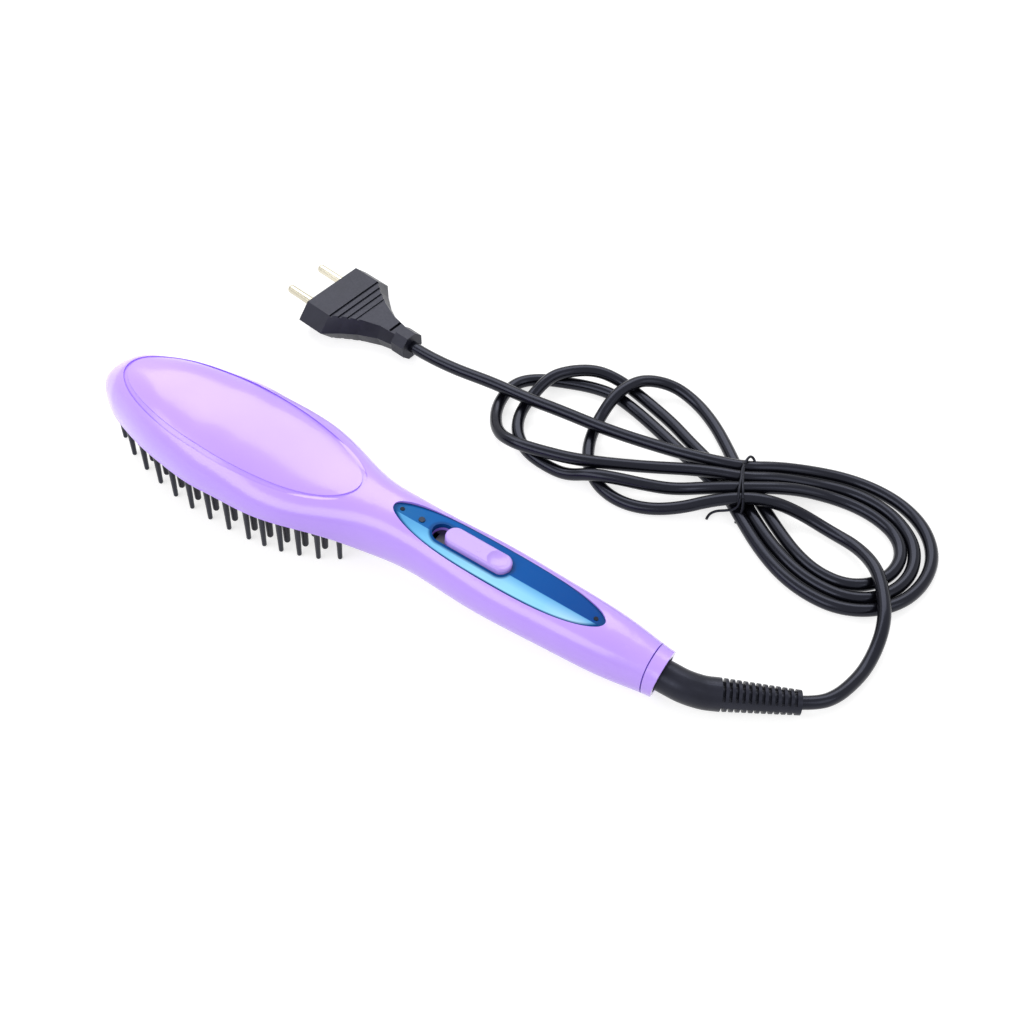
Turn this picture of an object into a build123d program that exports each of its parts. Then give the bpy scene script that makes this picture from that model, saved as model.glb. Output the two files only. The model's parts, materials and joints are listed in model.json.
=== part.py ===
from build123d import *
import math
import os

# Electric hair-straightening brush with its mains cord, lying on its tines.
# Millimetres. While a piece is being made, X runs towards the tail from a datum (0) that lies a
# little ahead of the rounded nose, Y across the brush and Z up from the floor that the tines
# stand on. save() puts the origin on the floor under the middle of the brush.

# ---- outer form ------------------------------------------------------------------------------
HEAD_LENGTH = 130.5
HANDLE_LENGTH = 133.5
HEAD_WIDTH = 52.8
NECK_WIDTH = 25.8
GRIP_WIDTH = 28.4
TAIL_WIDTH = 17.8
RIM_HEIGHT = 20.8
CROWN_HEIGHT = 44.4
NECK_TOP = 34.0
TAIL_TOP = 19.1
NECK_UNDERSIDE = 9.3
TAIL_UNDERSIDE = 0.7
NOSE_HEIGHT = 24.0
NOSE_SHARE = 0.0345
SHELL_WALL = 1.7
SECTION_POINTS = 24
UPPER_POWER = 2.4
LOWER_SHARE = 0.2
STAND = (Align.CENTER, Align.CENTER, Align.MIN)

# ---- joints between the housings -------------------------------------------------------------
LOWER_FRONT_GAP = 1.2
PARTING_RISE = 3.2
COLLAR_LENGTH = 7.2
COLLAR_SPIGOT = 4.0
COLLAR_SEAM = 0.5
TAIL_LEAN = 8.0
TAIL_TRIM = 1.6
FIT_CLEARANCE = 0.1
SPIGOT_CLEARANCE = 0.3

# ---- engraved oval on the head ---------------------------------------------------------------
OVAL_CENTRE = 75.0
OVAL_LENGTH = 114.0
OVAL_WIDTH = 40.8
OVAL_GROOVE_WIDTH = 2.0
OVAL_GROOVE_DEPTH = 0.6

# ---- bristle frame, heating plate and tines --------------------------------------------------
SKIRT_WALL = 1.8
FLANGE_INSET = 1.9
RIM_OPENING_INSET = 2.6
FRAME_INSET = 3.4
SHELL_RIM = 21.6
FRAME_BOTTOM = 20.4
FRAME_TOP = 24.0
OVAL_CLEARANCE = 0.3
FRAME_PAST_NECK = 1.1
PLATE_INSET = 4.8
PLATE_RECESS = 0.3
PLATE_STEP_HEIGHT = 22.3
PLATE_STEP = 0.8
REAR_ROUNDING = 13.0
ROW_FIRST = 12.9
ROW_PITCH_FRONT = 9.75
ROW_PITCH_REAR = 7.3
ROWS_FRONT = 9
ROWS_REAR = 5
TINE_INSET = 3.5
TINE_ROOT_RADIUS = 1.3
TINE_TIP_RADIUS = 0.95
TINE_SHANK_RADIUS = 0.7
TINE_RAKE = 3.5
PIN_INSET = 7.5
PIN_SPACING = 6.2
PIN_ROOT_RADIUS = 1.6
PIN_TIP_RADIUS = 1.3
PIN_SHANK_RADIUS = 1.0
PIN_SHORTER = 1.6
PIN_ROW_LEAST = 5.0

# ---- heater ----------------------------------------------------------------------------------
HEATER_LENGTH = 52.0
HEATER_WIDTH = 7.0
HEATER_HEIGHT = 4.0
HEATER_GAP = 0.6
INSULATION_THICKNESS = 0.5
CLAMP_THICKNESS = 0.8
CLAMP_FOOT = 4.0
PLATE_SCREW_Y = 11.0
PLATE_BOSS_RADIUS = 3.0
PLATE_SCREW_RADIUS = 1.25
PLATE_SCREW_HEAD_RADIUS = 2.2
PLATE_SCREW_GRIP = 7.0
PLATE_SCREW_HEAD = 1.5
PLATE_SCREW_ROWS = (2, 7)
HEATER_START = 34.0
CLAMP_START = 45.0
CLAMP_LENGTH = 32.0
CLAMP_FOOT_ROW = 4
CLAMP_SCREW_RADIUS = 1.0
CLAMP_SCREW_HEAD_RADIUS = 1.8
CLAMP_SCREW_HEAD = 1.2
CLAMP_SCREW_LENGTH = 3.0
FUSE_START = 96.0
FUSE_LENGTH = 9.0
FUSE_RADIUS = 1.9
FUSE_LEAD_RADIUS = 0.45
FUSE_LEAD_LENGTH = 3.0

# ---- control panel, button and switch --------------------------------------------------------
PANEL_FROM_NECK = 60.9
PANEL_LENGTH = 91.0
PANEL_WIDTH = 17.6
PANEL_POWER = 2.66
PANEL_CROWN = 2.0
PANEL_RIDGE_SIDE = -2.2
PANEL_EDGE = 1.4
SEAT_THICKNESS = 1.6
SEAT_MARGIN = 1.6
BUTTON_FROM_NECK = 52.7
BUTTON_LENGTH = 28.0
BUTTON_WIDTH = 8.2
BUTTON_HEIGHT = 1.9
BUTTON_TRAVEL = 5.5
BUTTON_CLEARANCE = 0.2
DIMPLE_OFFSET = 8.0
DIMPLE_RADIUS = 11.0
DIMPLE_DEPTH = 0.7
SLIDER_THICKNESS = 1.2
SLIDER_WIDTH = 11.0
SLIDER_OVERLAP = 1.5
SLIDER_PEG_RADIUS = 1.2
SLIDER_PEG_HEIGHT = 2.2
SLIDER_PEG_SPACING = 14.0
SWITCH_LENGTH = 22.0
SWITCH_WIDTH = 10.0
SWITCH_HEIGHT = 7.0
LEVER_LENGTH = 4.0
LEVER_WIDTH = 3.0
LEVER_DEPTH = 3.0
BOARD_LENGTH = 58.0
BOARD_WIDTH = 15.0
BOARD_THICKNESS = 1.6
BOARD_FROM_NECK = 23.0
POST_RADIUS = 1.8
POST_INSET = 4.0
LENS_FROM_NECK = 27.9
LENS_RADIUS = 1.2
LED_RADIUS = 1.5
LED_HEIGHT = 4.5
LED_LEAD_RADIUS = 0.3
PANEL_SCREW_INSET = 3.6
PANEL_SCREW_RADIUS = 0.55
PANEL_SCREW_HEAD_RADIUS = 0.85
PANEL_SCREW_LENGTH = 4.6

# ---- screws that join the housings, and the cord clamp ---------------------------------------
HOUSING_SCREWS_FROM_NECK = (9.5, 91.5)
HOUSING_BOSS_RADIUS = 3.2
HOUSING_SCREW_RADIUS = 1.3
HOUSING_SCREW_HEAD_RADIUS = 2.2
HOUSING_SCREW_HEAD = 1.6
HOUSING_SCREW_GRIP = 8.0
CORD_CLAMP_FROM_TAIL = 25.0
CORD_CLAMP_LENGTH = 6.0
CORD_CLAMP_WIDTH = 16.0
CORD_CLAMP_HEIGHT = 4.0
CORD_CLAMP_SCREW_Y = 5.6
CORD_CLAMP_SCREW_RADIUS = 1.1
CORD_CLAMP_SCREW_LENGTH = 7.0
JACKET_END_FROM_TAIL = 36.0
WIRE_RADIUS = 0.8

# ---- cord, strain relief and plug ------------------------------------------------------------
CORD_DIAMETER = 5.2
RELIEF_HEIGHT = 9.9
RELIEF_ROOT_RADIUS = 6.2
RELIEF_END_RADIUS = 4.6
RELIEF_FLANGE_RADIUS = 7.2
RELIEF_SHANK_RADIUS = 6.4
RELIEF_STOP_RADIUS = 8.2
RELIEF_STOP_LENGTH = 2.0
RELIEF_RECESS = 4.4
RELIEF_STEP = 1.0
RELIEF_RIBS = 12
RELIEF_SLOT_WIDTH = 1.2
RELIEF_SPINE = 1.4
RELIEF_FROM_TAIL = ((-5.5, 0.0, 9.9), (6.0, 0.3, 8.6), (12.5, 2.6, 7.0), (43.5, 18.6, 4.7))
RELIEF_RIB_START = 5.5
RELIEF_CORE_RADIUS = 3.2
RELIEF_SLOT_LEAN = 20.0
TIE_WIRE_RADIUS = 0.6
TIE_FROM_TAIL = (-17.7, 99.4)
TIE_HEADING = 28.6
BUNDLE_LENGTH = 34.0
BUNDLE_WIDTH = 22.0
CROSSING_HEADING = -32.0
CROSSING_LENGTH = 32.0
CROSSING_WIDTH = 16.0
HANK_LAYERS = 2
# Each loop of the hank, measured from the tie: middle x, middle y, half length, half width.
HANK_LOOPS = (
    (-39.5, 5.5, 31.5, 31.5),
    (34.5, -1.0, 32.0, 19.2),
    (-56.0, -0.5, 44.0, 26.5),
    (36.5, -1.0, 34.0, 24.3),
    (-61.5, -2.5, 47.5, 24.5),
    (38.5, -0.5, 37.0, 29.2),
)
# Points that the cord goes by, measured from the tail, on the way from the strain relief to the
# hank and from there to the plug. Its first and last runs go straight on from what holds it,
# LEAD_RUN long.
LEAD_RUN = 8.0
RELIEF_LEAD_FROM_TAIL = ((56.2, 28.3, 3.7), (59.2, 36.4, 3.1), (60.4, 45.6, 3.8), (59.6, 55.0, 6.0))
RELIEF_LEAD_END_FROM_TAIL = (54.0, 71.0, 7.8)
HANK_ENTRY_FROM_TAIL = (49.0, 81.0, 7.8)
PLUG_LEAD_START_FROM_TAIL = (-130.4, 94.9, 7.8)
PLUG_LEAD_FROM_TAIL = ((-153.2, 94.0, 7.2),)

PLUG_FRONT_FROM_TAIL = (-225.2, 105.0)
PLUG_HEADING = -10.0
PLUG_WIDTH = 42.2
PLUG_TOP_WIDTH = 30.0
PLUG_THICKNESS = 13.5
PLUG_STRAIGHT = 13.7
PLUG_BODY_LENGTH = 43.5
PLUG_NECK_WIDTH = 10.0
PLUG_COLLAR_RADIUS = 6.4
PLUG_COLLAR_LENGTH = 6.0
PLUG_COLLAR_SIDES = 8
PLUG_GRIPS = 4
PLUG_SLOT_PLACE = 38.9
PLUG_SLOT_WIDTH = 1.2
PLUG_SLOT_DEPTH = 3.0
PLUG_GRIP_PITCH = 3.4
PLUG_GRIP_WIDTH = 1.3
PLUG_GRIP_DEPTH = 0.7
PLUG_PIN_RADIUS = 2.0
PLUG_PIN_LENGTH = 19.0
PLUG_PIN_PITCH = 18.6
PLUG_PIN_ROOT = 8.0
PLUG_PIN_ROOT_RADIUS = 1.5
PLUG_PIN_STANDOFF = 0.5

# ---- worked out from the sizes above ---------------------------------------------------------
BRUSH_LENGTH = HEAD_LENGTH + HANDLE_LENGTH
NOSE_PLACE = NOSE_SHARE * HEAD_LENGTH
BRUSH_MIDDLE = (NOSE_PLACE + BRUSH_LENGTH - TAIL_TRIM) / 2
CORD_RADIUS = CORD_DIAMETER / 2
PANEL_CENTRE = HEAD_LENGTH + PANEL_FROM_NECK
BUTTON_CENTRE = HEAD_LENGTH + BUTTON_FROM_NECK
BOARD_START = HEAD_LENGTH + BOARD_FROM_NECK
LENS_PLACE = HEAD_LENGTH + LENS_FROM_NECK
HOUSING_SCREWS_X = [HEAD_LENGTH + x for x in HOUSING_SCREWS_FROM_NECK]
CORD_CLAMP_X = BRUSH_LENGTH - CORD_CLAMP_FROM_TAIL
JACKET_END_X = BRUSH_LENGTH - JACKET_END_FROM_TAIL
FRAME_END = HEAD_LENGTH + FRAME_PAST_NECK
PLATE_BOTTOM = FRAME_BOTTOM + PLATE_RECESS
LOWER_FRONT = FRAME_END + LOWER_FRONT_GAP
COLLAR_START = BRUSH_LENGTH - COLLAR_LENGTH
ROW_PLACES = [ROW_FIRST + ROW_PITCH_FRONT * i for i in range(ROWS_FRONT)]
ROW_PLACES += [ROW_PLACES[-1] + ROW_PITCH_REAR * (i + 1) for i in range(ROWS_REAR)]


def past_tail(point):
    """Point given from the tail, as one from the datum."""
    return (BRUSH_LENGTH + point[0], *point[1:])


RELIEF_PATH = [past_tail(point) for point in RELIEF_FROM_TAIL]
RELIEF_LEAD = [past_tail(point) for point in RELIEF_LEAD_FROM_TAIL]
RELIEF_LEAD_END = past_tail(RELIEF_LEAD_END_FROM_TAIL)
HANK_ENTRY = past_tail(HANK_ENTRY_FROM_TAIL)
TIE_PLACE = past_tail(TIE_FROM_TAIL)
PLUG_LEAD_START = past_tail(PLUG_LEAD_START_FROM_TAIL)
PLUG_LEAD = [past_tail(point) for point in PLUG_LEAD_FROM_TAIL]
PLUG_FRONT = past_tail(PLUG_FRONT_FROM_TAIL)


def interpolate(x, knots):
    """Height of a smooth curve through knots, (x, value) pairs in rising order."""
    places = [k[0] for k in knots]
    values = [k[1] for k in knots]
    if x <= places[0]:
        return values[0]
    if x >= places[-1]:
        return values[-1]
    last = len(knots) - 1
    i = max(j for j in range(last) if places[j] <= x)
    secants = [(values[j + 1] - values[j]) / (places[j + 1] - places[j]) for j in range(last)]

    def slope(j):
        if j == 0:
            return secants[0]
        if j == last:
            return secants[-1]
        if secants[j - 1] * secants[j] <= 0:
            return 0.0
        return 2 / (1 / secants[j - 1] + 1 / secants[j])

    step = places[i + 1] - places[i]
    t = (x - places[i]) / step
    start = (1 + 2 * t) * (1 - t) ** 2 * values[i] + t * (1 - t) ** 2 * step * slope(i)
    end = t * t * (3 - 2 * t) * values[i + 1] + t * t * (t - 1) * step * slope(i + 1)
    return start + end


def half_width(x):
    """Half the width of the brush at x, without any wall taken off."""
    w = HEAD_WIDTH / 2
    head = [
        (NOSE_SHARE, 0.0),
        (0.0368, 0.091),
        (0.042, 0.159),
        (0.0536, 0.231),
        (0.069, 0.299),
        (0.092, 0.383),
        (0.1226, 0.477),
        (0.16, 0.57),
        (0.305, 0.81),
        (0.49, 0.975),
        (0.64, 1.0),
        (0.76, 0.97),
        (0.87, 0.84),
    ]
    handle = [
        (0.0, 0.58 * w + 1.0),
        (0.14, NECK_WIDTH / 2 + 0.2),
        (0.22, NECK_WIDTH / 2),
        (0.36, (NECK_WIDTH + GRIP_WIDTH) / 4 + 0.4),
        (0.54, GRIP_WIDTH / 2),
        (0.79, 0.55 * GRIP_WIDTH / 2 + 0.5 * TAIL_WIDTH / 2 + 0.05),
        (1.0, TAIL_WIDTH / 2),
    ]
    knots = [(u * HEAD_LENGTH, v * w) for u, v in head]
    knots += [(HEAD_LENGTH + u * HANDLE_LENGTH, v) for u, v in handle]
    return interpolate(x, knots)


def top_height(x):
    """Height of the top ridge at x."""
    rise = CROWN_HEIGHT - RIM_HEIGHT
    head = [(NOSE_SHARE, 0.178), (0.0368, 0.271), (0.042, 0.36), (0.0536, 0.466)]
    head += [(0.069, 0.568), (0.092, 0.682), (0.1226, 0.80), (0.16, 0.897), (0.305, 1.0)]
    head += [(0.49, 0.93), (0.69, 0.755), (0.855, 0.60)]
    handle = [(0.14, 0.03), (0.34, 0.245), (0.545, 0.47), (0.79, 0.69)]
    fall = NECK_TOP - TAIL_TOP
    knots = [(u * HEAD_LENGTH, RIM_HEIGHT + v * rise) for u, v in head]
    knots += [(HEAD_LENGTH, NECK_TOP)]
    knots += [(HEAD_LENGTH + u * HANDLE_LENGTH, NECK_TOP - v * fall) for u, v in handle]
    knots += [(BRUSH_LENGTH, TAIL_TOP)]
    return interpolate(x, knots)


def underside(x):
    """Height of the lowest line of the housing at x: the flat rim, then the belly of the handle."""
    neck_drop = RIM_HEIGHT - NECK_UNDERSIDE
    fall = NECK_UNDERSIDE - TAIL_UNDERSIDE
    knots = [(0.80 * HEAD_LENGTH, RIM_HEIGHT), (0.88 * HEAD_LENGTH, RIM_HEIGHT - 0.1 * neck_drop)]
    knots += [(HEAD_LENGTH, RIM_HEIGHT - 0.53 * neck_drop)]
    handle = [(0.14, 0.0), (0.34, 0.29), (0.545, 0.51), (0.79, 0.825), (1.0, 1.0)]
    knots += [(HEAD_LENGTH + u * HANDLE_LENGTH, NECK_UNDERSIDE - v * fall) for u, v in handle]
    return interpolate(x, knots)


def section(x, inset):
    """Closed outline across the brush at x, moved inwards by inset: a superellipse, squarer below
    in the head, where the side walls stand upright on the rim."""
    squareness = interpolate(x, [(0.86 * HEAD_LENGTH, 0.0), (1.15 * HEAD_LENGTH, 1.0)])
    lower_power = 7.0 - 4.7 * squareness
    upper_power = UPPER_POWER - 0.1 * squareness
    top = top_height(x) - inset
    low = underside(x) + inset
    widest = low + (LOWER_SHARE + 0.3 * squareness) * (top - low)
    width = half_width(x) - inset
    points = []
    for i in range(SECTION_POINTS):
        angle = 2 * math.pi * (i + 0.5) / SECTION_POINTS
        c = math.cos(angle)
        s = math.sin(angle)
        power = upper_power if s > 0 else lower_power
        height = top - widest if s > 0 else widest - low
        reach = (abs(c) ** power + abs(s) ** power) ** (-1 / power)
        points.append(Vector(x, width * reach * c, widest + height * reach * s))
    return ring_face(points)


def ring_face(points):
    """Face inside a smooth closed curve that passes its points at even steps."""
    steps = range(len(points) + 1)
    return make_face(Edge.make_spline(points, parameters=list(steps), periodic=True))


def body_form(inset):
    """The whole brush as one solid, from nose to tail, with its surface moved inwards."""
    head = [0.0375, 0.0435, 0.055, 0.075, 0.105, 0.15, 0.2]
    head += [0.27, 0.36, 0.46, 0.57, 0.68, 0.79, 0.9, 1.0]
    handle = [0.09, 0.2, 0.36, 0.54, 0.72, 0.87, 1.0]
    places = [u * HEAD_LENGTH for u in head]
    places += [HEAD_LENGTH + u * HANDLE_LENGTH for u in handle]
    sections = [section(x, inset) for x in places if half_width(x) > inset + 1.0]
    if inset == 0:
        sections.insert(0, Vertex(NOSE_PLACE, 0, NOSE_HEIGHT))
    return loft(sections)


def closure(x, inset):
    """Rounds off the rear end of an outline that runs inset inside the head."""
    u = (x - (field_end(inset) - REAR_ROUNDING)) / REAR_ROUNDING
    return 1.0 if u <= 0 else max(0.0, 1 - u**4) ** 0.25


def field_end(inset):
    """Rear end of an outline that runs inset inside the head."""
    return FRAME_END - (inset - FLANGE_INSET)


def side_line(x, inset):
    """Half width at x of a line that runs inset inside the head's side."""
    reach = 0.5
    slope = (half_width(x + reach) - half_width(x - reach)) / (2 * reach)
    return half_width(x) - inset * math.hypot(1, slope)


def inset_half_width(x, inset):
    """Half width at x of the oval that runs inset inside the head's side."""
    return side_line(x, inset) * closure(x, inset)


def head_outline(inset):
    """Plan face of the oval bristle field, inset inside the outline of the head."""
    rear = field_end(inset) - REAR_ROUNDING
    places = [u * rear for u in (0.07, 0.10, 0.14, 0.25, 0.39, 0.55, 0.71, 0.86, 1.0)]
    places += [rear + u * REAR_ROUNDING for u in (0.4, 0.75, 0.93, 0.99)]
    side = [(x, inset_half_width(x, inset)) for x in places]
    side = [(x, y) for x, y in side if y > 1.0]
    nose = (side[0][0] - 0.5 * side[0][1], 0)
    mirrored = [(x, -y) for x, y in reversed(side)]
    return make_face(Spline(nose, *side, (field_end(inset), 0), *mirrored, periodic=True))


def open_outline(inset):
    """Plan face that runs inset inside the head, with a straight rear end across the neck."""
    end = field_end(inset)
    shares = (0.07, 0.14, 0.25, 0.39, 0.55, 0.71, 0.86, 1.0)
    side = [(share * end, side_line(share * end, inset)) for share in shares]
    side = [(x, y) for x, y in side if y > 1.0]
    nose = (side[0][0] - 0.5 * side[0][1], 0)
    mirrored = [(x, -y) for x, y in side]
    edges = Spline(*reversed(mirrored), nose, *side)
    return make_face(edges + Line(side[-1], mirrored[-1]))


def prism(face, low, high):
    """Upright solid over a plan face, from height low to height high."""
    return extrude(Pos(0, 0, low) * face, high - low, dir=(0, 0, 1))


def rod(start, end, radius):
    """Straight round rod between two points."""
    a = Vector(*start)
    axis = Vector(*end) - a
    return Plane(a, z_dir=axis) * Cylinder(radius, axis.length, align=STAND)


def upright(x, y, low, high, radius):
    """Upright round rod at x, y."""
    return rod((x, y, low), (x, y, high), radius)


def block(low, high):
    """Box between two opposite corners."""
    size = [h - l for l, h in zip(low, high)]
    middle = [(l + h) / 2 for l, h in zip(low, high)]
    return Pos(*middle) * Box(*size)


def corner_radii(points):
    """Radius for each corner of a route: as large as its two runs allow."""
    radii = []
    for a, b, c in zip(points, points[1:], points[2:]):
        first = Vector(*b) - Vector(*a)
        second = Vector(*c) - Vector(*b)
        half_turn = math.radians(first.get_angle(second)) / 2
        radii.append(0.45 * min(first.length, second.length) / math.tan(half_turn))
    return radii


def tube(points, radius):
    """Round tube along straight runs joined by tangent arcs."""
    path = FilletPolyline(*points, radius=corner_radii(points))
    start = Plane(path @ 0, z_dir=path % 0)
    return sweep(start * Circle(radius), path=path)


def parting_face():
    """Side view of everything that belongs to the lower housing."""
    places = [LOWER_FRONT + (COLLAR_START - LOWER_FRONT) * i / 8 for i in range(9)]
    line = [(x, 0, underside(x) + PARTING_RISE) for x in places]
    below = -10.0
    edges = Spline(*line)
    edges += Polyline(line[-1], (COLLAR_START, 0, below), (LOWER_FRONT, 0, below), line[0])
    return make_face(edges)


def lower_region():
    return extrude(parting_face(), HEAD_WIDTH, dir=(0, 1, 0), both=True)


def past(x):
    """Everything from x to beyond the tail."""
    return block((x, -HEAD_WIDTH, -10), (x + BRUSH_LENGTH, HEAD_WIDTH, CROWN_HEIGHT + 10))


# ---- the slope of the control panel, whose own frame has its ridge line as X -----------------
PANEL_START = PANEL_CENTRE - PANEL_LENGTH / 2
PANEL_DROP = top_height(PANEL_START) - top_height(PANEL_START + PANEL_LENGTH)
PANEL_SLOPE = math.degrees(math.atan2(PANEL_DROP, PANEL_LENGTH))
PANEL_RIDGE = (top_height(PANEL_START) + top_height(PANEL_START + PANEL_LENGTH)) / 2
PANEL_DEPTH = PANEL_CROWN + PANEL_EDGE
SEAT_BOTTOM = -(PANEL_DEPTH + SEAT_THICKNESS)
SLIDER_TOP = SEAT_BOTTOM - BUTTON_CLEARANCE
SLIDER_BOTTOM = SLIDER_TOP - SLIDER_THICKNESS
SWITCH_TOP = SLIDER_BOTTOM - BUTTON_CLEARANCE
BOARD_TOP = SWITCH_TOP - SWITCH_HEIGHT
BOARD_BOTTOM = BOARD_TOP - BOARD_THICKNESS


def on_panel(part):
    """Places a piece that was made in the panel's frame."""
    return Pos(PANEL_CENTRE, 0, PANEL_RIDGE) * Rot(0, PANEL_SLOPE, 0) * part


def along(x):
    """Place along the ridge line of a point that lies x from the nose."""
    return (x - PANEL_CENTRE) / math.cos(math.radians(PANEL_SLOPE))


def panel_height(x, level):
    """Height above the floor, x from the nose, of a plane that lies level above the ridge line."""
    slope = math.radians(PANEL_SLOPE)
    return PANEL_RIDGE - (x - PANEL_CENTRE) * math.tan(slope) + level / math.cos(slope)


def panel_outline(margin):
    """Leaf-shaped plan face of the panel, made larger by margin."""
    points = []
    for i in range(SECTION_POINTS):
        angle = 2 * math.pi * (i + 0.5) / SECTION_POINTS
        c = math.cos(angle)
        x = (PANEL_LENGTH / 2 + margin) * math.copysign(abs(c) ** (2 / PANEL_POWER), c)
        points.append((x, (PANEL_WIDTH / 2 + margin) * math.sin(angle)))
    return make_face(Spline(*points, periodic=True))


def button_slot(margin):
    """Plan face of the slot that the button slides in."""
    slot = SlotOverall(BUTTON_LENGTH + BUTTON_TRAVEL + 2 * margin, BUTTON_WIDTH + 2 * margin)
    return Pos(along(BUTTON_CENTRE) - BUTTON_TRAVEL / 2, 0) * slot


# ---- housings --------------------------------------------------------------------------------
def housing_split(x):
    """Height at which the upper and lower screw bosses at x meet."""
    return (underside(x) + top_height(x)) / 2 - 2


def plate_screw_places():
    return [
        ((ROW_PLACES[i] + ROW_PLACES[i + 1]) / 2, side * PLATE_SCREW_Y)
        for i in PLATE_SCREW_ROWS
        for side in (-1, 1)
    ]


def oval_groove():
    """The engraved line on top of the head."""
    outer = Ellipse(OVAL_LENGTH / 2, OVAL_WIDTH / 2)
    inner = Ellipse(OVAL_LENGTH / 2 - OVAL_GROOVE_WIDTH, OVAL_WIDTH / 2 - OVAL_GROOVE_WIDTH)
    plan = Pos(OVAL_CENTRE, 0) * (outer - inner)
    return prism(plan, (RIM_HEIGHT + CROWN_HEIGHT) / 2, CROWN_HEIGHT + 5) - body_form(OVAL_GROOVE_DEPTH)


def upper_housing():
    outer = body_form(0)
    core = body_form(SHELL_WALL / 2)
    shell = outer - body_form(SHELL_WALL)
    bosses = [upright(x, y, FRAME_TOP, CROWN_HEIGHT, PLATE_BOSS_RADIUS) for x, y in plate_screw_places()]
    bosses += [upright(x, 0, housing_split(x), NECK_TOP, HOUSING_BOSS_RADIUS) for x in HOUSING_SCREWS_X]
    for boss in bosses:
        shell += boss & core
    shell += on_panel(prism(panel_outline(SEAT_MARGIN), SEAT_BOTTOM, PANEL_DEPTH)) & outer
    shell += block((FRAME_END, -HEAD_WIDTH, 0), (LOWER_FRONT, HEAD_WIDTH, FRAME_TOP)) & core
    rail_y = SLIDER_WIDTH / 2 + BUTTON_CLEARANCE
    rail_reach = BUTTON_LENGTH / 2 + BUTTON_TRAVEL + SLIDER_OVERLAP
    start = along(BUTTON_CENTRE) - rail_reach
    end = along(BUTTON_CENTRE) + rail_reach
    for side in (-1, 1):
        across = sorted((side * rail_y, side * (rail_y + 1.0)))
        shell += on_panel(block((start, across[0], SWITCH_TOP), (end, across[1], SEAT_BOTTOM)))
    shell -= lower_region()
    shell -= past(COLLAR_START)
    shell -= prism(open_outline(SKIRT_WALL), 0, SHELL_RIM)
    shell -= prism(open_outline(RIM_OPENING_INSET), SHELL_RIM, FRAME_TOP)
    shell -= oval_groove()
    shell -= on_panel(prism(panel_outline(FIT_CLEARANCE), -PANEL_DEPTH, PANEL_DEPTH))
    shell -= on_panel(prism(button_slot(BUTTON_CLEARANCE), SEAT_BOTTOM, 0))
    shell -= on_panel(upright(along(LENS_PLACE), 0, SEAT_BOTTOM, 0, LENS_RADIUS + FIT_CLEARANCE))
    for x in panel_screw_places():
        shell -= on_panel(upright(x, 0, -PANEL_SCREW_LENGTH, 0, PANEL_SCREW_RADIUS))
    for x, y in plate_screw_places():
        shell -= upright(x, y, FRAME_TOP, FRAME_TOP + PLATE_SCREW_GRIP, PLATE_SCREW_RADIUS)
    for x in HOUSING_SCREWS_X:
        split = housing_split(x)
        shell -= upright(x, 0, split, split + HOUSING_SCREW_GRIP / 2, HOUSING_SCREW_RADIUS)
    return shell


def clamp_seat():
    """Block in the lower housing that the inner cord lies on, with its two screw holes."""
    half = CORD_CLAMP_WIDTH / 2
    start = CORD_CLAMP_X - CORD_CLAMP_LENGTH / 2
    seat = block((start, -half, 0), (start + CORD_CLAMP_LENGTH, half, RELIEF_HEIGHT))
    before = (start - 1, 0, RELIEF_HEIGHT)
    after = (start + CORD_CLAMP_LENGTH + 1, 0, RELIEF_HEIGHT)
    seat -= rod(before, after, CORD_RADIUS)
    for y in (-CORD_CLAMP_SCREW_Y, CORD_CLAMP_SCREW_Y):
        low = RELIEF_HEIGHT + CORD_CLAMP_HEIGHT - CORD_CLAMP_SCREW_LENGTH
        seat -= upright(CORD_CLAMP_X, y, low, RELIEF_HEIGHT, CORD_CLAMP_SCREW_RADIUS)
    return seat


def board_posts():
    """Four posts under the corners of the circuit board, in the panel's frame."""
    start = along(BOARD_START)
    across = BOARD_WIDTH / 2 - POST_RADIUS
    places = [start + POST_INSET, start + BOARD_LENGTH - POST_INSET]
    deep = BOARD_BOTTOM - CROWN_HEIGHT
    return [upright(x, y, deep, BOARD_BOTTOM, POST_RADIUS) for x in places for y in (-across, across)]


def lower_housing():
    core = body_form(SHELL_WALL / 2)
    shell = (body_form(0) - body_form(SHELL_WALL)) & lower_region()
    room = (core & lower_region()) + body_form(SHELL_WALL + OVAL_CLEARANCE)
    for post in board_posts():
        shell += on_panel(post) & room
    shell += clamp_seat() & room
    for x in HOUSING_SCREWS_X:
        shell += upright(x, 0, 0, housing_split(x), HOUSING_BOSS_RADIUS) & room
    for x in HOUSING_SCREWS_X:
        split = housing_split(x)
        seat = split - HOUSING_SCREW_GRIP / 2
        shell -= upright(x, 0, seat, split, HOUSING_SCREW_RADIUS + FIT_CLEARANCE)
        shell -= upright(x, 0, -5, seat, HOUSING_SCREW_HEAD_RADIUS + FIT_CLEARANCE)
    return shell


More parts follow.
